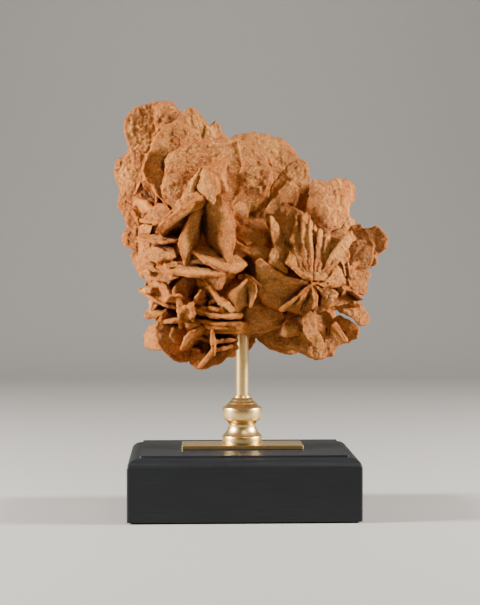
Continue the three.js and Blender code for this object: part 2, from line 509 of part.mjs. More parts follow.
    front(15, [0.1, 0.08], 4.9, [[-11, 247], [-4, 251], [4, 252], [8, 253.6], [23, 250.6], [30, 247.4],
      [36, 242], [40, 235.4], [38, 220], [28, 206], [12, 204], [-2, 212], [-10, 230]]),
  ],
  crown_far_left: [
    front(33, [-0.1, 0.1], 4.9, [[-72, 247], [-80, 239.4], [-85.4, 235], [-86.6, 227], [-85, 219],
      [-82.6, 213], [-84, 203], [-80.6, 196], [-74, 189.6], [-60, 193], [-54, 210], [-55, 232],
      [-62, 247]]),
    front(30, [-0.1, 0.8], 3.8, [[-77.4, 189], [-80.6, 183], [-79.4, 178], [-73, 173.4], [-62, 174],
      [-54, 182], [-58, 194], [-70, 195]], { root: [-70, 192] }),
  ],

  // The right flank
  right_petals: [
    front(-13, [0.15, 0.1], 4.6, [[45.5, 220.6], [48.1, 218.6], [51.8, 219.2], [55, 218.2], [58.3, 213.3],
      [60.9, 207], [61.3, 200.1], [60.2, 193.8], [58.3, 186.2], [56.9, 181.4], [54, 182.4], [51.8, 187],
      [48.1, 191.5], [44.1, 195.6], [42.2, 201.3], [43.1, 210.8], [44.7, 217.4]]),
  ],
  right_petal_middle: [
    front(-2, [0.45, 0.1], 4.2, [[56, 218.6], [58.8, 221.2], [61.9, 222.9], [65.9, 221.8], [68.5, 217.1],
      [69.9, 210.8], [70, 205.7], [67.8, 199], [65.7, 195], [61.5, 190], [56, 188], [54, 200],
      [54, 212]]),
  ],
  right_petal_outer: [
    front(8, [0.8, 0], 3.4, [[67, 216], [71.3, 219.9], [73.3, 217.7], [73.2, 210.8], [71.8, 201.3],
      [73, 195], [73.2, 182], [69, 178], [63, 182], [61, 194], [63, 206]]),
    front(6.5, [0.6, 0.1], 2.4, [[66, 187.5], [71.3, 197.6], [75.6, 194.8], [75.6, 183.8], [70, 179],
      [62, 180]]),
  ],
  wing_front: [
    front(-13, [-0.1, 0.1], 3.5, [[63, 170], [71.3, 179], [77, 180.4], [84.8, 180.6], [86.5, 177.4],
      [85.6, 173], [85.4, 168], [83, 162.5], [78.9, 159.4], [70.7, 156.2], [64, 158]]),
  ],
  wing_back: [
    front(-3, [-0.2, 0.1], 3.8, [[70, 184.6], [83.3, 188.6], [89.8, 189.4], [92.6, 186.2], [96.4, 180.6],
      [95.6, 174.9], [92.4, 172], [89.6, 170], [84, 163], [74, 160], [64, 168], [63, 180]]),
  ],

  // The flanks and the back
  flank_left: [
    side(-54, [0.15, 0.1], 6.5, oval([22, 204], [20, 26], 20, 1)),
    top(180, [0.1, -0.2], 6, oval([-48, 22], [22, 19], 0, 2)),
    side(-60, [0.2, 0.1], 4.5, oval([20, 164], [16, 22], 0, 4, 9)),
    ...rosette([-62, 22, 196], 19, 4, 1),
    ...rosette([-58, 20, 166], 17, 3, 3),
  ],
  flank_right: [
    side(58, [-0.2, -0.1], 6.5, oval([14, 172], [20, 22], -10, 2)),
    front(12, [-0.1, 0.2], 6, oval([60, 152], [20, 20], 0, 3)),
    top(160, [0.1, 0.15], 4.5, oval([60, 20], [17, 18], 0, 1, 9)),
    front(-4, [0.1, 0], 18, oval([66, 172], [14, 16], 0, 4, 9), { edge: 4 }),
    ...rosette([62, 18, 176], 18, 4, 2),
    ...rosette([58, 18, 148], 16, 3, 5),
  ],
  back_crown: [
    front(40, [0.1, -0.35], 7, oval([-30, 236], [27, 22], 15, 1)),
    side(-20, [0.2, 0.15], 5, oval([38, 216], [17, 26], 10, 2)),
    top(208, [0, -0.3], 4.5, oval([-32, 38], [20, 16], 0, 3, 9)),
    ...rosette([-40, 40, 222], 20, 3, 4),
    ...rosette([-14, 42, 232], 15, 3, 2),
  ],
  back_right_crown: [
    front(32, [-0.35, -0.2], 7, oval([22, 220], [25, 22], -20, 4)),
    front(40, [0.5, 0.2], 4.5, oval([14, 206], [15, 18], 0, 2, 9)),
    ...rosette([26, 38, 214], 18, 3, 1),
  ],
  back_middle: [
    front(46, [0.1, 0.12], 6.5, oval([-10, 190], [24, 20], 10, 3)),
    side(14, [0.3, -0.2], 5, oval([38, 178], [17, 23], 0, 5)),
    top(176, [0.1, -0.1], 4.5, oval([-2, 40], [22, 16], 0, 1, 9)),
    ...rosette([-6, 46, 184], 18, 4, 3),
  ],
  back_left: [
    front(40, [0.6, 0.1], 6, oval([-46, 190], [20, 22], -15, 2)),
    front(34, [-0.6, -0.3], 4.5, oval([-44, 168], [18, 16], 0, 5, 9)),
    ...rosette([-42, 42, 180], 17, 3, 5),
  ],
  back_right: [
    front(34, [-0.6, 0.2], 6, oval([42, 186], [22, 20], 25, 5)),
    front(36, [0.5, 0.4], 4.5, oval([34, 168], [18, 15], 0, 1, 9)),
    ...rosette([38, 38, 178], 17, 3, 2),
  ],
  back_lower_left: [
    front(36, [0.3, 0.5], 6, oval([-34, 148], [24, 19], 30, 1)),
    side(-30, [0.1, 0.2], 5, oval([24, 132], [18, 19], 0, 3)),
    top(140, [0.2, 0.2], 4.5, oval([-30, 34], [18, 15], 0, 2, 9)),
    ...rosette([-38, 34, 142], 17, 3, 1),
  ],
  back_lower_right: [
    front(36, [-0.2, 0.5], 6, oval([16, 148], [26, 20], -20, 3)),
    side(32, [-0.2, 0.1], 5, oval([22, 132], [19, 18], 0, 1)),
    side(4, [0.4, 0.1], 4.5, oval([36, 138], [15, 17], 0, 4, 9)),
    ...rosette([28, 32, 144], 17, 3, 4),
  ],
  back_bottom: [
    front(18, [0, 0.4], 6, oval([-14, 117], [25, 14], -10, 2), { root: [10, 118] }),
    front(18, [0.1, 0.4], 6, oval([34, 118], [25, 13], 8, 5), { root: [10, 118] }),
    side(-18, [0.3, 0], 4, oval([16, 116], [13, 13], 0, 1, 9)),
    side(36, [-0.3, 0], 4, oval([16, 118], [12, 12], 0, 3, 9)),
  ],
};

// ---- Bringing it together --------------------------------------------------------------------
const bodies = (solid) => solid.decompose().sort((a, b) => b.volume() - a.volume());
const union = (solids) => solids.reduce((all, solid) => all.add(solid));

const roseParts = [];
let taken = post(ROD.radius + FIT_GAP, 0, ROD.top + FIT_GAP);
for (const [name, plates] of Object.entries(ROSE)) {
  const whole = union(plates.map((plate) => lens(plate)));
  const left = bodies(whole.subtract(taken));
  roseParts.push(part(name, left[0], STONE));
  taken = taken.add(union(plates.map((plate) => lens(plate, FIT_GAP))));
}

const studHole = post(ROD.studRadius + FIT_GAP, 0, PLATE_TOP + 1);
const plate = solidOf(new THREE.BoxGeometry(PLATE.width, PLATE.depth, PLATE.thick)
  .translate(0, 0, BASE.top + PLATE.thick / 2));
const [feltWidth, feltDepth] = [BASE.width - 2 * FELT.inset, BASE.depth - 2 * FELT.inset];
const felt = solidOf(new THREE.BoxGeometry(feltWidth, feltDepth, FELT.thick).translate(0, 0, FELT.thick / 2));
const washer = post(WASHER.radius, POCKET.top - WASHER.thick, POCKET.top);

const rose = new THREE.Group();
rose.name = "sand_rose_on_stand";
rose.add(
  part("wood_base", woodBase(), EBONISED),
  part("felt_sheet", felt, BAIZE),
  part("brass_plate", plate.subtract(studHole), BRASS),
  part("turned_collar", turnedCollar(), BRASS),
  part("brass_rod", brassRod(), BRASS),
  part("washer", washer.subtract(studHole), STEEL),
  part("hex_nut", hexNut(), STEEL),
  ...roseParts,
);
export default rose;
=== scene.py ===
"""A gypsum sand rose on a turned brass stem over a black wooden block, in metres, +Z up."""

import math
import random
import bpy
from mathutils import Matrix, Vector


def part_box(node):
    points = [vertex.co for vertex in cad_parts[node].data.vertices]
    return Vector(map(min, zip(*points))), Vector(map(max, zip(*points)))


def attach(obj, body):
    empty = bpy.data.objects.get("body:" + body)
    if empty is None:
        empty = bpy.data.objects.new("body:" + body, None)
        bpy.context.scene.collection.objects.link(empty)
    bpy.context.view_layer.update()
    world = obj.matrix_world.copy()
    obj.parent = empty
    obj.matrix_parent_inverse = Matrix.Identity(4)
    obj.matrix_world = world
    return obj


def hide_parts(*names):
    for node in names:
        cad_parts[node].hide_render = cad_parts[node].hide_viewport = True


bl_info = {
    "name": "Sand Rose on Stand",
    "version": (1, 0, 0),
    "blender": (4, 5, 0),
    "location": "View3D > Sidebar > Sand Rose",
    "description": "Grows a desert sand rose from its CAD frame and finishes its brass and wood stand",
    "category": "Add Mesh",
}

from functools import lru_cache

import bmesh
import bpy
import numpy as np
from bpy.props import FloatProperty, FloatVectorProperty, IntProperty, PointerProperty
from mathutils import Matrix, Vector
from mathutils.bvhtree import BVHTree
from mathutils.kdtree import KDTree

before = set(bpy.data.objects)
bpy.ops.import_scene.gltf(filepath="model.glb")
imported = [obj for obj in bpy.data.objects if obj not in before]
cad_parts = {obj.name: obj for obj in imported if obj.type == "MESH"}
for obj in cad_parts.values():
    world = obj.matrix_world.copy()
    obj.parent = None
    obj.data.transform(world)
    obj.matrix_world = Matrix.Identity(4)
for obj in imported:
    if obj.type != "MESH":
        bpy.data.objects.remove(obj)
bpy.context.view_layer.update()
MM = 0.001
# Stone deeper than this behind the surface means a rim; the crown's blades are thicker.
BLADE_WALL = 0.0115
CROWN_WALL = 0.018
# Scales are thin layers lying flat on the faces; bladelets are small blades standing out of them.
SCALE_ROOM = 0.005
SCALE_REACH = (0.009, 0.02)
SCALE_THICK = (0.0012, 0.0019)
BLADELET_ROOM = 0.001
BLADELET_REACH = (0.004, 0.0075)
BLADELET_THICK = (0.0014, 0.002)
FLAKE_SIDES = 14
FLAKE_WAVES = (2, 3, 5)
FULL_TURN = 6.28
# The mesh grid on which the flakes find their places, and how much coarser unseen stone is.
ROUGH_GRID = 0.0017
BACK_COARSER = 1.6
# How fast the sharp rim of a blade and its orange border, painted as light glowing through the thin stone, fade
# into the face.
RIM_FADE = 0.0013
GLOW_FADE = 0.0026
# Width of one growth step on a face, and how far out the stone feels for its neighbours when the shade painted in
# its recesses is worked out.
GROWTH_STEP = 0.0058
FEELER = 0.005
SHARP_ANGLE = 32

# ---- Which crystals make up each region of the rose, and how they are overgrown ---------------
# by how many scales and bladelets
REGIONS = {
    "crown": {
        "crown_centre": {"scales": 0, "bladelets": 0},
        "crown_middle": {"scales": 2, "bladelets": 1},
        "crown_left": {"scales": 2, "bladelets": 0},
        "crown_right": {"scales": 1, "bladelets": 0},
        "crown_right_back": {"scales": 1, "bladelets": 0},
        "crown_far_left": {"scales": 2, "bladelets": 1},
    },
    "pyramid": {
        "pyramid_right_blade": {"scales": 0, "bladelets": 0},
        "pyramid_left_blade": {"scales": 1, "bladelets": 0},
        "pyramid_inner_blade": {"scales": 0, "bladelets": 0},
        "pyramid_floor_petals": {"scales": 1, "bladelets": 0},
        "main_shelf": {"scales": 2, "bladelets": 0},
        "middle_blades": {"scales": 0, "bladelets": 0},
    },
    "fan": {
        "fan_lower_left_blade": {"scales": 1, "bladelets": 0},
        "fan_lower_pleats": {"scales": 0, "bladelets": 0},
        "fan_upper_ridge": {"scales": 1, "bladelets": 0},
        "fan_left_pleat": {"scales": 0, "bladelets": 0},
        "fan_right_pleats": {"scales": 0, "bladelets": 0},
        "fan_right_leaves": {"scales": 0, "bladelets": 1},
        "right_petals": {"scales": 1, "bladelets": 0},
        "right_petal_middle": {"scales": 1, "bladelets": 0},
        "right_petal_outer": {"scales": 1, "bladelets": 2},
        "wing_front": {"scales": 1, "bladelets": 2},
        "wing_back": {"scales": 1, "bladelets": 0},
    },
    "lower_right": {
        "spear_blade": {"scales": 0, "bladelets": 0},
        "bowl_left_blade": {"scales": 1, "bladelets": 0},
        "bowl_right_blades": {"scales": 1, "bladelets": 2},
        "ridge_blade": {"scales": 1, "bladelets": 4},
        "bowl_floor_disc": {"scales": 2, "bladelets": 1},
        "stem_cover_blade": {"scales": 1, "bladelets": 0},
    },
    "lower_left": {
        "stone_block_blade": {"scales": 0, "bladelets": 0},
        "rosette_diagonal_blade": {"scales": 0, "bladelets": 2},
        "lower_left_disc": {"scales": 2, "bladelets": 2},
        "middle_left_disc": {"scales": 1, "bladelets": 3},
        "bottom_rosette": {"scales": 1, "bladelets": 6},
        "lower_middle_shelf": {"scales": 1, "bladelets": 1},
        "bottom_shelves": {"scales": 1, "bladelets": 3},
        "left_low_shelf": {"scales": 1, "bladelets": 2},
        "left_second_shelf": {"scales": 1, "bladelets": 1},
        "left_ridges": {"scales": 1, "bladelets": 4},
        "left_upper_shelf": {"scales": 1, "bladelets": 1},
        "left_top_shelf": {"scales": 1, "bladelets": 3},
        "left_column": {"scales": 1, "bladelets": 5},
    },
    "back": {
        "flank_left": {"scales": 2, "bladelets": 5},
        "flank_right": {"scales": 2, "bladelets": 5},
        "back_crown": {"scales": 3, "bladelets": 4},
        "back_right_crown": {"scales": 2, "bladelets": 4},
        "back_middle": {"scales": 3, "bladelets": 6},
        "back_left": {"scales": 2, "bladelets": 5},
        "back_right": {"scales": 2, "bladelets": 5},
        "back_lower_left": {"scales": 2, "bladelets": 6},
        "back_lower_right": {"scales": 2, "bladelets": 6},
        "back_bottom": {"scales": 2, "bladelets": 7},
        "heart": {"scales": 0, "bladelets": 90},
    },
}


# ---- Settings ---------------------------------------------------------------------------------
class SandRoseStoneSettings(bpy.types.PropertyGroup):
    """Sizes and colours of the gypsum."""

    grid: FloatProperty(
        name="Mesh Grid", description="Spacing of the stone's surface mesh",
        default=0.00052, min=0.0004, max=0.003, unit="LENGTH",
    )
    swell: FloatProperty(
        name="Swell", description="How far each crystal grows to close on its neighbours",
        default=0.00016, min=0.0, max=0.001, unit="LENGTH",
    )
    sway: FloatProperty(
        name="Sway", description="How far the blades wander from flat",
        default=0.0009, min=0.0, max=0.004, unit="LENGTH",
    )
    terrace: FloatProperty(
        name="Terrace Height", description="Height of the growth steps on the faces",
        default=0.00026, min=0.0, max=0.002, unit="LENGTH",
    )
    seed: IntProperty(name="Seed", description="Picks where the small blades grow", default=11, min=0)
    sand_pale: FloatVectorProperty(
        name="Pale Sand", description="Colour of the bleached, sandy faces",
        subtype="COLOR", size=3, min=0, max=1, default=(0.80, 0.325, 0.07),
    )
    sand_warm: FloatVectorProperty(
        name="Warm Sand", description="Colour of the cleaner faces",
        subtype="COLOR", size=3, min=0, max=1, default=(0.54, 0.155, 0.022),
    )
    # Rim Orange is a painted glow: the colour of light shining through the thin rims.
    rim_glow_orange: FloatVectorProperty(
        name="Rim Orange", description="Colour of the waxy rims",
        subtype="COLOR", size=3, min=0, max=1, default=(0.70, 0.19, 0.008),
    )
    # Recess Brown is painted shade: the colour laid deep between the blades, where shade falls.
    recess_shade_brown: FloatVectorProperty(
        name="Recess Brown", description="Colour deep between the blades",
        subtype="COLOR", size=3, min=0, max=1, default=(0.09, 0.017, 0.0015),
    )


class SandRoseStandSettings(bpy.types.PropertyGroup):
    """Sizes and colours of the stand."""

    corner: FloatProperty(
        name="Corner Softening", description="Rounding of the block's mitred corners",
        default=0.0012, min=0.0002, max=0.003, unit="LENGTH",
    )
    brass_colour: FloatVectorProperty(
        name="Brass", description="Colour of the plate, collar and stem",
        subtype="COLOR", size=3, min=0, max=1, default=(0.88, 0.61, 0.25),
    )
    wood_colour: FloatVectorProperty(
        name="Black Stain", description="Colour of the stained block",
        subtype="COLOR", size=3, min=0, max=1, default=(0.007, 0.0085, 0.011),
    )


class SandRoseStageSettings(bpy.types.PropertyGroup):
    """The floor and the camera's place."""

    floor_colour: FloatVectorProperty(
        name="Floor", description="Colour of the plain floor and backdrop",
        subtype="COLOR", size=3, min=0, max=1, default=(0.34, 0.333, 0.322),
    )
    camera_distance: FloatProperty(
        name="Camera Distance", description="How far the camera stands in front of the stem",
        default=0.978, min=0.3, max=3.0, unit="LENGTH",
    )
    lens: FloatProperty(name="Lens", description="Focal length in millimetres", default=87.6, min=20, max=200)


# ---- Material building ------------------------------------------------------------------------
class Finish:
    """A material under construction: its node tree and short ways to add to it."""

    def __init__(self, name, **sockets):
        self.material = bpy.data.materials.new(name)
        self.material.use_nodes = True
        self.tree = self.material.node_tree
        self.shader = self.tree.nodes["Principled BSDF"]
        for socket, value in sockets.items():
            self.shader.inputs[socket.replace("_", " ")].default_value = value

    def node(self, kind, settings=None, **inputs):
        node = self.tree.nodes.new(kind)
        for key, value in (settings or {}).items():
            setattr(node, key, value)
        for key, value in inputs.items():
            self.feed(node, key.replace("_", " "), value)
        return node

    def feed(self, node, key, value):
        socket = node.inputs[int(key[1:])] if key[0] == "i" and key[1:].isdigit() else node.inputs[key]
        if isinstance(value, bpy.types.NodeSocket):
            self.tree.links.new(value, socket)
        else:
            socket.default_value = value

    def place(self, scale=(1000, 1000, 1000)):
        """Object coordinates, in millimetres unless a scale is given."""
        where = self.node("ShaderNodeTexCoord").outputs["Object"]
        return self.node("ShaderNodeMapping", Vector=where, Scale=scale).outputs[0]

    def noise(self, where, scale, detail=3.0, roughness=0.5, distortion=0.0):
        return self.node(
            "ShaderNodeTexNoise", Vector=where, Scale=scale, Detail=detail,
            Roughness=roughness, Distortion=distortion,
        ).outputs["Fac"]

    def span(self, value, low, high, to_low=0.0, to_high=1.0):
        """Value remapped from one range to another, and held inside it."""
        return self.node(
            "ShaderNodeMapRange", {"clamp": True}, i0=value, i1=low, i2=high, i3=to_low, i4=to_high,
        ).outputs[0]

    def sum(self, operation, first, second):
        return self.node("ShaderNodeMath", {"operation": operation}, i0=first, i1=second).outputs[0]

    def blend(self, share, first, second, how="MIX"):
        return self.node(
            "ShaderNodeMix", {"data_type": "RGBA", "blend_type": how}, i0=share, i6=first, i7=second,
        ).outputs[2]

    def bump(self, height, distance, strength=1.0, over=None):
        node = self.node("ShaderNodeBump", Height=height, Distance=distance, Strength=strength)
        if over is not None:
            self.feed(node, "Normal", over)
        return node.outputs[0]

    def attribute(self, name):
        return self.node("ShaderNodeAttribute", {"attribute_name": name}).outputs["Fac"]


PALE_GRAIN = (0.88, 0.5, 0.2, 1)
DARK_GRAIN = (0.2, 0.05, 0.006, 1)
DUST = (0.16, 0.155, 0.15, 1)
STEEL_LIGHT = (0.56, 0.57, 0.58, 1)
STEEL_DARK = (0.44, 0.45, 0.46, 1)
FELT_DARK = (0.012, 0.012, 0.014, 1)
FELT_LIGHT = (0.035, 0.034, 0.036, 1)


def rgba(colour):
    return (*colour, 1.0)


def gypsum_finish():
    """Sandy faces, rims painted orange for light glowing through the thin stone, fine growth lines on the rims,
    and painted shade in the recesses.
    """
    stone = bpy.context.scene.sand_rose_stone
    made = Finish(
        "sandy_gypsum", Specular_IOR_Level=0.3, Subsurface_Weight=0.06,
        Subsurface_Radius=(1.0, 0.3, 0.08), Subsurface_Scale=0.0012,
    )
    where = made.place()
    rim = made.attribute("rim")
    recess_shade = made.attribute("recess_shade")
    layer = made.attribute("layer")

    drift = made.span(made.noise(where, 0.045, 4.0, 0.6), 0.36, 0.62)
    mottle = made.noise(where, 0.5, 7.0, 0.72)
    grains = made.node("ShaderNodeTexVoronoi", Vector=where, Scale=1.3, Randomness=1.0)
    grain_tone = made.node("ShaderNodeSeparateColor", Color=grains.outputs["Color"]).outputs[0]

    colour = made.blend(drift, rgba(stone.sand_warm), rgba(stone.sand_pale))
    # Painted glow: the rims turn orange as if light shone through their thin edges.
    glowing = made.sum("MULTIPLY", made.span(rim, 0.3, 0.8), made.span(mottle, 0.3, 0.6, 0.5, 1.0))
    colour = made.blend(glowing, colour, rgba(stone.rim_glow_orange))
    # Painted shade: the recess brown darkens the stone where the openness field finds it hemmed in between
    # blades.
    deep = made.sum("MULTIPLY", made.span(recess_shade, 0.1, 0.8), 0.95)
    colour = made.blend(deep, colour, rgba(stone.recess_shade_brown))
    tint = made.span(mottle, 0.3, 0.7, 0.5, 1.25)
    shade = made.node("ShaderNodeCombineColor", i0=tint, i1=tint, i2=tint).outputs[0]
    colour = made.blend(1.0, colour, shade, "MULTIPLY")
    bare = made.sum("SUBTRACT", 1.0, made.sum("MULTIPLY", rim, 0.8))
    pale_grain = made.sum("MULTIPLY", made.span(grain_tone, 0.84, 0.97, 0.0, 0.42), bare)
    dark_grain = made.sum("MULTIPLY", made.span(grain_tone, 0.2, 0.05, 0.0, 0.45), bare)
    colour = made.blend(pale_grain, colour, PALE_GRAIN)
    colour = made.blend(dark_grain, colour, DARK_GRAIN)
    made.feed(made.shader, "Base Color", colour)

    glint = made.span(grain_tone, 0.955, 0.96)
    rough = made.span(rim, 0.0, 1.0, 0.84, 0.5)
    rough = made.sum("SUBTRACT", rough, made.sum("MULTIPLY", glint, 0.45))
    made.feed(made.shader, "Roughness", rough)

    grit = made.noise(where, 1.6, 5.0, 0.75)
    pits = made.noise(where, 0.62, 6.0, 0.66)
    lines = made.node(
        "ShaderNodeTexNoise", {"noise_dimensions": "1D"},
        W=made.sum("ADD", layer, made.sum("MULTIPLY", made.noise(where, 0.12, 2.0), 3.0)),
        Scale=1.9, Detail=3.0, Roughness=0.6,
    ).outputs["Fac"]
    lines = made.sum("MULTIPLY", lines, made.span(rim, 0.4, 0.95, 0.1, 1.0))
    normal = made.bump(pits, 0.003, 0.9)
    normal = made.bump(lines, 0.0009, 0.8, normal)
    normal = made.bump(made.span(grains.outputs["Distance"], 0.0, 0.8, 1.0, 0.0), 0.0005, 0.7, normal)
    normal = made.bump(grit, 0.0011, 0.9, normal)
    made.feed(made.shader, "Normal", normal)
    return made.material


def brass_finish(name, turned):
    """Polished brass: lathe rings round the stem's axis, or long rubbing lines on flat pieces."""
    stand = bpy.context.scene.sand_rose_stand
    made = Finish(name, Metallic=1.0)
    stretch = (300, 300, 9000) if turned else (120, 5000, 5000)
    lines = made.noise(made.place(stretch), 1.0, 3.0, 0.6)
    cloud = made.noise(made.place(), 0.09, 3.0, 0.6)
    darker = tuple(0.86 * c for c in stand.brass_colour)
    colour = made.blend(made.span(cloud, 0.35, 0.65), rgba(stand.brass_colour), rgba(darker))
    made.feed(made.shader, "Base Color", colour)
    rough = made.sum("ADD", made.span(lines, 0.3, 0.7, 0.24, 0.36), made.span(cloud, 0.4, 0.7, 0.0, 0.06))
    made.feed(made.shader, "Roughness", rough)
    made.feed(made.shader, "Normal", made.bump(lines, 0.00001, 0.35))
    return made.material


def ebonised_finish():
    """Black stained wood with its grain along the block and a little dust in the pores."""
    stand = bpy.context.scene.sand_rose_stand
    made = Finish("black_stained_wood", Specular_IOR_Level=0.3)
    where = made.place()
    fibre = made.noise(made.place((28, 900, 900)), 1.0, 5.0, 0.65, 0.4)
    pores = made.noise(made.place((60, 2600, 2600)), 1.0, 3.0, 0.6)
    blotch = made.noise(where, 0.05, 4.0, 0.6)
    specks = made.span(made.noise(where, 1.6, 2.0, 0.5), 0.71, 0.76)
    greyed = tuple(1.9 * c + 0.004 for c in stand.wood_colour)
    share = made.sum("MULTIPLY", made.span(fibre, 0.4, 0.8), made.span(blotch, 0.35, 0.7, 0.2, 0.8))
    colour = made.blend(share, rgba(stand.wood_colour), rgba(greyed))
    colour = made.blend(made.sum("MULTIPLY", specks, 0.25), colour, DUST)
    made.feed(made.shader, "Base Color", colour)
    made.feed(made.shader, "Roughness", made.span(fibre, 0.3, 0.75, 0.42, 0.56))
    normal = made.bump(fibre, 0.0001, 0.4)
    made.feed(made.shader, "Normal", made.bump(pores, 0.00005, 0.4, normal))
    return made.material


def steel_finish():
    """Dull grey steel for the fixings."""
    made = Finish("dull_steel", Metallic=1.0)
    dull = made.noise(made.place(), 0.8, 4.0, 0.6)
    made.feed(made.shader, "Base Color", made.blend(made.span(dull, 0.3, 0.7), STEEL_LIGHT, STEEL_DARK))
    made.feed(made.shader, "Roughness", made.span(dull, 0.3, 0.7, 0.3, 0.5))
    return made.material


def felt_finish():
    """Black felt with a soft fuzz."""
    made = Finish("black_felt", Roughness=1.0, Sheen_Weight=0.4)
    fuzz = made.noise(made.place(), 2.5, 6.0, 0.8)
    made.feed(made.shader, "Base Color", made.blend(made.span(fuzz, 0.3, 0.7), FELT_DARK, FELT_LIGHT))
    made.feed(made.shader, "Normal", made.bump(fuzz, 0.0003, 0.8))
    return made.material


def floor_finish():
    """Plain matt floor."""
    colour = bpy.context.scene.sand_rose_stage.floor_colour
    made = Finish("plain_floor", Roughness=0.9)
    made.feed(made.shader, "Base Color", rgba(colour))
    return made.material


def finish(name, build, *args):
    """A finished material, made once and shared by the pieces that use it."""
    return bpy.data.materials.get(name) or build(*args)


# ---- Putting pieces in the scene --------------------------------------------------------------
def add_piece(name, bm, material, slot, *nodes, smooth=True):
    """Turns a bmesh into a piece of the object that stands for its CAD nodes."""
    if not bm.faces:
        raise RuntimeError(f"{name} came out empty")
    mesh = bpy.data.meshes.new(name)
    bm.to_mesh(mesh)
    bm.free()
    mesh.polygons.foreach_set("use_smooth", [smooth] * len(mesh.polygons))
    mesh.materials.append(material)
    piece = bpy.data.objects.new(name, mesh)
    bpy.context.scene.collection.objects.link(piece)
    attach(piece, "root")
    if nodes:
        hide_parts(*nodes)
    return piece


def node_box(node):
    low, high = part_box(node)
    return Vector(low), Vector(high)


# ---- Growing the crystals ---------------------------------------------------------------------
def lattice_noise(points, size, seed):
    """Smooth noise between -1 and 1 over an array of points, one bump per size.

    Each corner of a lattice cell is scrambled into a number, and the points blend the eight nearest.
    """
    scaled = points / size + 37.31 * (seed + 1)
    cell = np.floor(scaled).astype(np.int64)
    share = scaled - cell
    share = share * share * share * (share * (share * 6.0 - 15.0) + 10.0)
    total = np.zeros(len(points))
    for corner in range(8):
        step = np.array([(corner >> axis) & 1 for axis in range(3)])
        x, y, z = (cell + step).T
        mixed = (x * 73856093) ^ (y * 19349663) ^ (z * 83492791) ^ (seed * 2654435761)
        mixed = ((mixed ^ (mixed >> 13)) * 1274126177) & 0x7FFFFFFF
        mixed = (mixed ^ (mixed >> 16)) & 0xFFFFF
        weight = np.prod(np.where(step == 1, share, 1.0 - share), axis=1)
        total += weight * (mixed / 524287.5 - 1.0)
    return total


def smooth_step(value, low, high):
    """0 below low, 1 above high, and an even S between them."""
    share = np.clip((value - low) / (high - low), 0.0, 1.0)
    return share * share * (3.0 - 2.0 * share)


def merged_copy(node):
    """A copy of a CAD node's mesh with its loose triangles joined."""
    bm = bmesh.new()
    bm.from_mesh(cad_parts[node].data)
    bmesh.ops.remove_doubles(bm, verts=bm.verts, dist=0.000002)
    return bm


def remeshed(bm, grid):
    """The outer skin of everything in the bmesh as one even mesh."""
    mesh = bpy.data.meshes.new("blank")
    bm.to_mesh(mesh)
    blank = bpy.data.objects.new("blank", mesh)
    bpy.context.scene.collection.objects.link(blank)
    skin = blank.modifiers.new("skin", "REMESH")
    skin.mode = "VOXEL"
    skin.voxel_size = grid
    skin.adaptivity = 0.0
    result = bpy.data.meshes.new_from_object(blank.evaluated_get(bpy.context.evaluated_depsgraph_get()))
    bpy.data.objects.remove(blank)
    bpy.data.meshes.remove(mesh)
    if len(result.polygons) < 20:
        raise RuntimeError("a crystal was lost while it was skinned")
    return result


def mesh_arrays(mesh):
    """A mesh's points and normals as arrays with one row for each vertex."""
    count = len(mesh.vertices)
    points = np.empty(count * 3)
    normals = np.empty(count * 3)
    mesh.vertices.foreach_get("co", points)
    mesh.vertex_normals.foreach_get("vector", normals)
    return points.reshape(-1, 3), normals.reshape(-1, 3)


def tree_of(points):
    tree = KDTree(len(points))
    for i, point in enumerate(points):
        tree.insert(point, i)
    tree.balance()
    return tree


class Openness:
    """How open the space is around the rose, on a lattice of points, to paint shade into its recesses."""

    gap = 0.004
    reach = 0.03

    def __init__(self):
        soup = bmesh.new()
        low, high = np.full(3, 9.0), np.full(3, -9.0)
        for plans in REGIONS.values():
            for node in plans:
                soup.from_mesh(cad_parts[node].data)
                corners = node_box(node)
                low = np.minimum(low, corners[0])
                high = np.maximum(high, corners[1])
        shell = BVHTree.FromBMesh(soup)
        soup.free()
        self.low = low - 2 * self.gap
        self.count = np.ceil((high - self.low) / self.gap).astype(int) + 3
        rays = 18
        lifts = [1 - (2 * i + 1) / rays for i in range(rays)]
        ways = [
            Vector((math.sqrt(1 - z * z) * math.cos(2.4 * i), math.sqrt(1 - z * z) * math.sin(2.4 * i), z))
            for i, z in enumerate(lifts)
        ]
        field = np.empty(tuple(self.count))
        for index in np.ndindex(*self.count):
            start = Vector(self.low + np.array(index) * self.gap)
            total = 0.0
            for way in ways:
                distance = shell.ray_cast(start, way, self.reach)[3]
                total += self.reach if distance is None else distance
            field[index] = total / (rays * self.reach)
        self.field = field

    def at(self, points):
        scaled = (points - self.low) / self.gap
        scaled = np.clip(scaled, 0, self.count - 1.001)
        cell = scaled.astype(int)
        share = scaled - cell
        total = np.zeros(len(points))
        for corner in range(8):
            step = np.array([(corner >> axis) & 1 for axis in range(3)])
            weight = np.prod(np.where(step == 1, share, 1.0 - share), axis=1)
            total += weight * self.field[tuple((cell + step).T)]
        return total


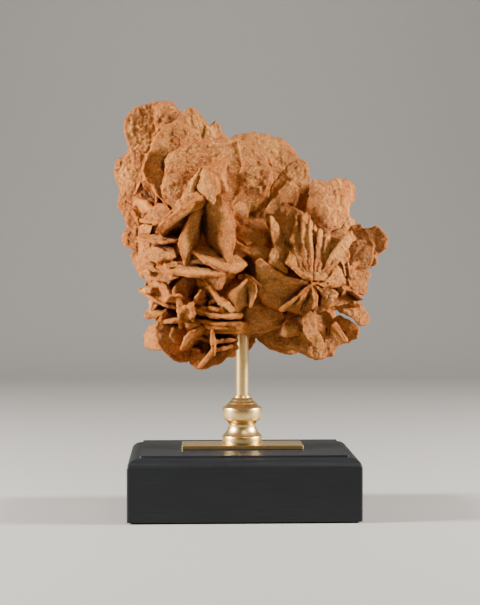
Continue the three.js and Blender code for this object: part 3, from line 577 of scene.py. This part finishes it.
def read_blades(mesh, wall):
    """Finds the rims: the places where the stone behind the surface is deeper than a blade.

    Gives for each vertex its distance from the nearest rim and the way its blade faces.
    """
    points, normals = mesh_arrays(mesh)
    shell = BVHTree.FromPolygons([Vector(p) for p in points], [tuple(p.vertices) for p in mesh.polygons])
    depth = np.empty(len(points))
    for i, (point, normal) in enumerate(zip(points, normals)):
        inward = Vector(-normal)
        hit = shell.ray_cast(Vector(point) + inward * 0.0001, inward)
        depth[i] = hit[3] if hit[3] is not None else 0.0
    on_rim = depth > wall
    if not on_rim.any():
        on_rim[np.argmax(depth)] = True
    on_face = ~on_rim
    if not on_face.any():
        on_face[np.argmin(depth)] = True
    rim_tree = tree_of(points[on_rim])
    face_index = np.nonzero(on_face)[0]
    face_tree = tree_of(points[face_index])
    distance = np.array([0.0 if rim else rim_tree.find(point)[2] for point, rim in zip(points, on_rim)])
    facing = normals.copy()
    for i in np.nonzero(on_rim)[0]:
        facing[i] = normals[face_index[face_tree.find(points[i])[1]]]
    flip = facing @ np.array([0.31, -1.0, 0.57]) < 0
    facing[flip] *= -1
    return distance, facing


def basis(normal, spin):
    """A turn that takes +Z to the normal, spun about it."""
    return Vector(normal).to_track_quat("Z", "Y").to_matrix().to_4x4() @ Matrix.Rotation(spin, 4, "Z")


def add_flake(bm, place, long, wide, thick, rng):
    """A small uneven blade: a low drum with a narrower top, its outline wandering in and out."""
    sides = FLAKE_SIDES
    made = bmesh.ops.create_cone(
        bm, cap_ends=True, segments=sides, radius1=1.0, radius2=0.86, depth=1.0, matrix=Matrix(),
    )
    phases = [rng.uniform(0, 2 * math.pi) for _ in FLAKE_WAVES]
    jog = [
        1
        + sum(0.11 * math.sin(wave * 2 * math.pi * i / sides + phase) for wave, phase in zip(FLAKE_WAVES, phases))
        + rng.uniform(-0.06, 0.06)
        for i in range(sides)
    ]
    for vert in made["verts"]:
        turn = round(math.atan2(vert.co.y, vert.co.x) / (2 * math.pi) * sides) % sides
        vert.co.x *= jog[turn] * long
        vert.co.y *= jog[turn] * wide
        vert.co.z *= thick
    bmesh.ops.transform(bm, matrix=place, verts=made["verts"])


def overgrow(bm, plan, wall, seed):
    """Adds the thin scales and small bladelets that cover a crystal's faces."""
    rough = remeshed(bm, ROUGH_GRID)
    points, normals = mesh_arrays(rough)
    distance, _ = read_blades(rough, wall)
    bpy.data.meshes.remove(rough)
    rng = random.Random(seed)
    order = list(range(len(points)))
    rng.shuffle(order)
    scales, bladelets = plan["scales"], plan["bladelets"]
    for i in order:
        point, normal, room = Vector(points[i]), Vector(normals[i]), distance[i]
        if scales and room > SCALE_ROOM:
            reach = min(room * rng.uniform(0.6, 0.8), rng.uniform(*SCALE_REACH))
            tilt = Vector([rng.uniform(-0.05, 0.05) for _ in range(3)])
            place = Matrix.Translation(point) @ basis(normal + tilt, rng.uniform(0, FULL_TURN))
            add_flake(bm, place, reach, reach * rng.uniform(0.55, 0.95), rng.uniform(*SCALE_THICK), rng)
            scales -= 1
        elif bladelets and room > BLADELET_ROOM:
            reach = rng.uniform(*BLADELET_REACH)
            sideways = normal.cross(Vector([rng.uniform(-1, 1) for _ in range(3)])).normalized()
            facing = sideways + normal * rng.uniform(-0.5, 0.5)
            root = Matrix.Translation(point + normal * reach * 0.15)
            place = root @ basis(facing, rng.uniform(0, FULL_TURN))
            add_flake(bm, place, reach, reach * rng.uniform(0.65, 1.0), rng.uniform(*BLADELET_THICK), rng)
            bladelets -= 1
        if not scales and not bladelets:
            break


def weather(mesh, wall):
    """Gives the skinned blades their sway, growth terraces, nibbled rims and sandy tooth."""
    stone = bpy.context.scene.sand_rose_stone
    distance, facing = read_blades(mesh, wall)
    points, normals = mesh_arrays(mesh)
    rim = np.exp(-distance / RIM_FADE)
    millimetres = points / MM

    sway = np.stack([lattice_noise(points, 0.021, 3 + axis) for axis in range(3)], axis=1)
    wander = np.stack([lattice_noise(points, 0.008, 13 + axis) for axis in range(3)], axis=1)
    move = sway * stone.sway + wander * stone.sway * 0.32

    nibble = lattice_noise(points, 0.0052, 21) * 0.0012 + lattice_noise(points, 0.0023, 22) * 0.0005
    lump = lattice_noise(points, 0.0065, 23) * 0.0004 + lattice_noise(points, 0.0031, 24) * 0.00028
    sandy = smooth_step(lattice_noise(points, 0.019, 29), -0.5, 0.4)
    grain = np.maximum(lattice_noise(points, 0.0021, 30) - 0.1, 0.0) * 0.0009 * sandy
    ring = distance / GROWTH_STEP + lattice_noise(points, 0.012, 25) * 1.5
    ring += lattice_noise(points, 0.004, 26) * 0.4
    fall = ring - np.floor(ring)
    step = (smooth_step(fall, 0.0, 0.22) - fall) * stone.terrace * 1.6
    step *= smooth_step(lattice_noise(points, 0.016, 27), -0.35, 0.35)
    tooth = lattice_noise(points, 0.0013, 28) * 0.00016
    outward = stone.swell + rim * nibble + (1.0 - rim) * (lump + step + grain) + tooth
    points = points + move + normals * outward[:, None]
    mesh.vertices.foreach_set("co", points.ravel())

    layer = np.einsum("ij,ij->i", millimetres, facing)
    # Painted shade: the recess mask is high where little open space lies around a point, and the shader darkens
    # the stone there.
    recess_shade = 1.0 - smooth_step(openness().at(points + normals * FEELER), 0.12, 0.62)
    # The glow mask marks where the rims are painted orange for light shining through them.
    glowing = np.exp(-distance / GLOW_FADE)
    for name, values in (("rim", glowing), ("layer", layer), ("recess_shade", recess_shade)):
        mesh.attributes.new(name, "FLOAT", "POINT").data.foreach_set("value", values.astype(np.float32))
    mesh.update()


@lru_cache(maxsize=1)
def openness():
    """The openness of the whole rose, worked out the first time it is asked for."""
    return Openness()


def grow(node, plan, number):
    """One crystal, or group of crystals, skinned, overgrown and weathered over its CAD node."""
    stone = bpy.context.scene.sand_rose_stone
    coarser = BACK_COARSER if node in REGIONS["back"] else 1.0
    grid = stone.grid * coarser * 1.0
    wall = CROWN_WALL if node in REGIONS["crown"] else BLADE_WALL
    bm = merged_copy(node)
    overgrow(bm, plan, wall, stone.seed * 1000 + number)
    mesh = remeshed(bm, grid)
    bm.free()
    weather(mesh, wall)
    mesh.name = f"{node}_stone"
    mesh.polygons.foreach_set("use_smooth", [True] * len(mesh.polygons))
    mesh.materials.clear()
    mesh.materials.append(finish("sandy_gypsum", gypsum_finish))
    piece = bpy.data.objects.new(f"{node}_stone", mesh)
    bpy.context.scene.collection.objects.link(piece)
    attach(piece, "root")
    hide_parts(node)


# ---- Operators --------------------------------------------------------------------------------
class RegionOperator:
    """Grows every crystal of one region of the rose."""

    region = ""

    def execute(self, context):
        for number, (node, plan) in enumerate(REGIONS[self.region].items()):
            grow(node, plan, number + 100 * list(REGIONS).index(self.region))
        return {"FINISHED"}


class SANDROSE_OT_crown(RegionOperator, bpy.types.Operator):
    """Grow the tall blades at the top"""

    bl_idname = "sand_rose.crown"
    bl_label = "Crown"
    region = "crown"


class SANDROSE_OT_pyramid(RegionOperator, bpy.types.Operator):
    """Grow the steep rosette in the middle of the front"""

    bl_idname = "sand_rose.pyramid"
    bl_label = "Pyramid Rosette"
    region = "pyramid"


class SANDROSE_OT_fan(RegionOperator, bpy.types.Operator):
    """Grow the pleated fan and the petals and wing beside it"""

    bl_idname = "sand_rose.fan"
    bl_label = "Pleated Fan"
    region = "fan"


class SANDROSE_OT_lower_right(RegionOperator, bpy.types.Operator):
    """Grow the open rosette low on the right"""

    bl_idname = "sand_rose.lower_right"
    bl_label = "Lower Right Rosette"
    region = "lower_right"


class SANDROSE_OT_lower_left(RegionOperator, bpy.types.Operator):
    """Grow the shelves and small rosettes low on the left"""

    bl_idname = "sand_rose.lower_left"
    bl_label = "Lower Left Shelves"
    region = "lower_left"


class SANDROSE_OT_back(RegionOperator, bpy.types.Operator):
    """Grow the flanks, the back and the heart"""

    bl_idname = "sand_rose.back"
    bl_label = "Back and Heart"
    region = "back"


class SANDROSE_OT_block(bpy.types.Operator):
    """Make the black wooden block with its rounded top edge and raised panel"""

    bl_idname = "sand_rose.block"
    bl_label = "Wooden Block"

    def execute(self, context):
        stand = context.scene.sand_rose_stand
        low, high = node_box("wood_base")
        wall_top, round_top, run, steps = 0.035, 0.04125, 0.008, 10
        bm = bmesh.new()
        bmesh.ops.create_grid(bm, x_segments=1, y_segments=1, size=0.5)
        bmesh.ops.scale(bm, vec=(high.x - low.x, high.y - low.y, 1), verts=bm.verts)
        bmesh.ops.translate(bm, vec=(0, 0, low.z), verts=bm.verts)
        underside = bm.faces[:]
        raised = bmesh.ops.extrude_face_region(bm, geom=underside)["geom"]
        top = [part for part in raised if isinstance(part, bmesh.types.BMFace)]
        bmesh.ops.translate(bm, vec=(0, 0, wall_top - low.z), verts=top[0].verts)
        reach, height = 0.0, wall_top
        for i in range(1, steps + 1):
            turn = i / steps * math.pi / 2
            inset = run * (1 - math.cos(turn)) - reach
            rise = wall_top + (round_top - wall_top) * math.sin(turn) - height
            bmesh.ops.inset_region(bm, faces=top, thickness=inset, depth=0, use_even_offset=True)
            bmesh.ops.translate(bm, vec=(0, 0, rise), verts=top[0].verts)
            reach += inset
            height += rise
        bmesh.ops.inset_region(bm, faces=top, thickness=0.0001, depth=0, use_even_offset=True)
        bmesh.ops.translate(bm, vec=(0, 0, high.z - height), verts=top[0].verts)
        bmesh.ops.recalc_face_normals(bm, faces=bm.faces)
        panel = list(top[0].edges)
        mitres = [
            edge for edge in bm.edges
            if abs(edge.verts[0].co.z - edge.verts[1].co.z) > 1e-5
            and edge.verts[0].co.x * edge.verts[1].co.x > 0
            and edge.verts[0].co.y * edge.verts[1].co.y > 0
        ]
        bmesh.ops.bevel(
            bm, geom=mitres, offset=stand.corner, segments=3, profile=0.5, affect="EDGES", material=-1,
            clamp_overlap=True,
        )
        bmesh.ops.bevel(
            bm, geom=[e for e in panel if e.is_valid], offset=0.0004, segments=2, profile=0.5,
            affect="EDGES", material=-1, clamp_overlap=True,
        )
        material = finish("black_stained_wood", ebonised_finish)
        add_piece("block", bm, material, "ebonised_wood", "wood_base", smooth=False)
        return {"FINISHED"}


def soft_box(low, high, edge, segments=2):
    """A box between two corners with its edges softened."""
    bm = bmesh.new()
    bmesh.ops.create_cube(bm, size=1.0)
    bmesh.ops.scale(bm, vec=high - low, verts=bm.verts)
    bmesh.ops.translate(bm, vec=(low + high) / 2, verts=bm.verts)
    bmesh.ops.bevel(
        bm, geom=bm.edges[:], offset=edge, segments=segments, profile=0.5, affect="EDGES", material=-1,
        clamp_overlap=True,
    )
    return bm


def spun(profile, steps):
    """A turned piece: radius and height pairs spun round the stem's axis."""
    bm = bmesh.new()
    verts = [bm.verts.new((radius, 0, height)) for radius, height in profile]
    edges = [bm.edges.new(pair) for pair in zip(verts, verts[1:])]
    bmesh.ops.spin(
        bm, geom=verts + edges, cent=(0, 0, 0), axis=(0, 0, 1), angle=2 * math.pi, steps=steps,
        use_merge=True,
    )
    bmesh.ops.remove_doubles(bm, verts=bm.verts, dist=0.000001)
    bmesh.ops.recalc_face_normals(bm, faces=bm.faces)
    return bm


class SANDROSE_OT_felt(bpy.types.Operator):
    """Lay the felt under the block"""

    bl_idname = "sand_rose.felt"
    bl_label = "Felt"

    def execute(self, context):
        low, high = node_box("felt_sheet")
        material = finish("black_felt", felt_finish)
        add_piece("felt_pad", soft_box(low, high, 0.0003), material, "felt", "felt_sheet", smooth=False)
        return {"FINISHED"}


class SANDROSE_OT_plate(bpy.types.Operator):
    """Make the brass plate on the block"""

    bl_idname = "sand_rose.plate"
    bl_label = "Brass Plate"

    def execute(self, context):
        low, high = node_box("brass_plate")
        material = finish("brass_flat", brass_finish, "brass_flat", False)
        add_piece("plate", soft_box(low, high, 0.0005, 3), material, "brass", "brass_plate", smooth=False)
        return {"FINISHED"}


class SANDROSE_OT_collar(bpy.types.Operator):
    """Turn the brass collar: drum, hollow neck, wider drum and ringed cone"""

    bl_idname = "sand_rose.collar"
    bl_label = "Turned Collar"

    def execute(self, context):
        low, high = node_box("turned_collar")
        bore = 4.4
        outline = [
            (bore, 0), (12.8, 0), (13.1, 0.15), (13.2, 0.45), (13.2, 5.0), (13.05, 5.35), (12.8, 5.6),
            (11.2, 7.3), (10.3, 8.6), (9.7, 10), (9.4, 11.2), (9.3, 12.2), (9.4, 13.1), (9.7, 14),
            (10.3, 15.0), (11.3, 15.8), (12.5, 16.15), (13.0, 16.4), (13.2, 16.9), (13.2, 23.6),
            (13.05, 24.1), (12.7, 24.4), (11.9, 24.5), (11.6, 24.8), (10.1, 26.3), (9.7, 26.5),
            (9.45, 26.9), (8.3, 28.2), (7.9, 28.4), (7.65, 28.8), (6.5, 30.2), (6.1, 30.4), (5.85, 30.8),
            (5.3, 32.2), (5.1, 32.45), (bore, 32.5), (bore, 0),
        ]
        points = [(radius * MM, low.z + height * MM) for radius, height in outline]
        material = finish("brass_turned", brass_finish, "brass_turned", True)
        piece = add_piece("collar", spun(points, 96), material, "brass", "turned_collar")
        crease(piece, SHARP_ANGLE)
        return {"FINISHED"}


def crease(piece, degrees):
    """Keeps edges sharper than the angle crisp under smooth shading."""
    piece.data.set_sharp_from_angle(angle=math.radians(degrees))


class SANDROSE_OT_stem(bpy.types.Operator):
    """Turn the brass stem that holds the stone"""

    bl_idname = "sand_rose.stem"
    bl_label = "Brass Stem"

    def execute(self, context):
        low, high = node_box("brass_rod")
        plate_top = node_box("brass_plate")[1].z
        radius, stud = (high.x - low.x) / 2, 0.003
        points = [
            (0, low.z), (stud - 0.0005, low.z), (stud, low.z + 0.0005), (stud, plate_top),
            (radius, plate_top), (radius, high.z - 0.001), (radius - 0.001, high.z), (0, high.z),
        ]
        material = finish("brass_turned", brass_finish, "brass_turned", True)
        piece = add_piece("stem", spun(points, 64), material, "brass", "brass_rod")
        crease(piece, SHARP_ANGLE)
        return {"FINISHED"}


class SANDROSE_OT_fixings(bpy.types.Operator):
    """Finish the washer and nut hidden under the block"""

    bl_idname = "sand_rose.fixings"
    bl_label = "Washer and Nut"

    def execute(self, context):
        for node in ("washer", "hex_nut"):
            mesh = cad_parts[node].data
            mesh.materials.clear()
            mesh.materials.append(finish("dull_steel", steel_finish))
        return {"FINISHED"}


class SANDROSE_OT_stage(bpy.types.Operator):
    """Set the floor, the lights and the camera"""

    bl_idname = "sand_rose.stage"
    bl_label = "Stage"

    def execute(self, context):
        stage = context.scene.sand_rose_stage
        bm = bmesh.new()
        bmesh.ops.create_grid(bm, x_segments=1, y_segments=1, size=3.0)
        bmesh.ops.translate(bm, vec=(0, -1.2, 0), verts=bm.verts)
        far = [e for e in bm.edges if all(v.co.y > 1.0 for v in e.verts)]
        wall = bmesh.ops.extrude_edge_only(bm, edges=far)["geom"]
        raised = [part for part in wall if isinstance(part, bmesh.types.BMVert)]
        bmesh.ops.translate(bm, vec=(0, 0.4, 3.0), verts=raised)
        bmesh.ops.bevel(bm, geom=far, offset=0.7, segments=12, profile=0.5, affect="EDGES", material=-1)
        bmesh.ops.recalc_face_normals(bm, faces=bm.faces)
        mesh = bpy.data.meshes.new("floor")
        bm.to_mesh(mesh)
        bm.free()
        mesh.polygons.foreach_set("use_smooth", [True] * len(mesh.polygons))
        mesh.materials.append(finish("plain_floor", floor_finish))
        floor = bpy.data.objects.new("floor", mesh)
        context.scene.collection.objects.link(floor)

        world = bpy.data.worlds.new("room")
        context.scene.world = world
        world.use_nodes = True
        backlight = world.node_tree.nodes["Background"]
        backlight.inputs["Color"].default_value = (1.0, 0.98, 0.95, 1)
        backlight.inputs["Strength"].default_value = 0.014

        aim = Vector((0, 0, 0.16))
        for name, place, size, power in (
            ("softbox_left", (-1.1, -0.17, 0.5), 0.24, 60),
            ("softbox_right", (1.1, -0.12, 0.48), 0.24, 52),
            ("softbox_top", (0.3, -0.7, 0.95), 0.4, 3),
        ):
            light = bpy.data.lights.new(name, "AREA")
            light.shape = "SQUARE"
            light.size = size
            light.energy = power
            light.color = (1.0, 0.955, 0.89)
            lamp = bpy.data.objects.new(name, light)
            lamp.location = place
            lamp.rotation_euler = (aim - Vector(place)).to_track_quat("-Z", "Y").to_euler()
            context.scene.collection.objects.link(lamp)

        camera_data = bpy.data.cameras.new("camera")
        camera_data.lens = stage.lens
        camera = bpy.data.objects.new("camera", camera_data)
        camera.location = (-0.0373, -stage.camera_distance, 0.1673)
        camera.rotation_euler = (math.radians(90 - 1.65), 0, math.radians(-2.1))
        context.scene.collection.objects.link(camera)
        context.scene.camera = camera
        return {"FINISHED"}


class SANDROSE_PT_panel(bpy.types.Panel):
    """Lists the pieces and their settings"""

    bl_label = "Sand Rose"
    bl_idname = "SANDROSE_PT_panel"
    bl_space_type = "VIEW_3D"
    bl_region_type = "UI"
    bl_category = "Sand Rose"

    def draw(self, context):
        for title, settings in (
            ("Stone", context.scene.sand_rose_stone),
            ("Stand", context.scene.sand_rose_stand),
            ("Stage", context.scene.sand_rose_stage),
        ):
            box = self.layout.box()
            box.label(text=title)
            for name in settings.__annotations__:
                box.prop(settings, name)
        column = self.layout.column(align=True)
        for operator in OPERATORS:
            column.operator(operator.bl_idname)


SETTINGS = (SandRoseStoneSettings, SandRoseStandSettings, SandRoseStageSettings)
OPERATORS = (
    SANDROSE_OT_felt,
    SANDROSE_OT_block,
    SANDROSE_OT_plate,
    SANDROSE_OT_collar,
    SANDROSE_OT_stem,
    SANDROSE_OT_fixings,
    SANDROSE_OT_crown,
    SANDROSE_OT_pyramid,
    SANDROSE_OT_fan,
    SANDROSE_OT_lower_right,
    SANDROSE_OT_lower_left,
    SANDROSE_OT_back,
    SANDROSE_OT_stage,
)


def register():
    for cls in (*SETTINGS, *OPERATORS, SANDROSE_PT_panel):
        bpy.utils.register_class(cls)
    bpy.types.Scene.sand_rose_stone = PointerProperty(type=SandRoseStoneSettings)
    bpy.types.Scene.sand_rose_stand = PointerProperty(type=SandRoseStandSettings)
    bpy.types.Scene.sand_rose_stage = PointerProperty(type=SandRoseStageSettings)


def unregister():
    del bpy.types.Scene.sand_rose_stage
    del bpy.types.Scene.sand_rose_stand
    del bpy.types.Scene.sand_rose_stone
    for cls in reversed((*SETTINGS, *OPERATORS, SANDROSE_PT_panel)):
        bpy.utils.unregister_class(cls)


def main():
    register()
    for operator in OPERATORS:
        category, name = operator.bl_idname.split(".")
        getattr(getattr(bpy.ops, category), name)()


if __name__ == "__main__":
    main()
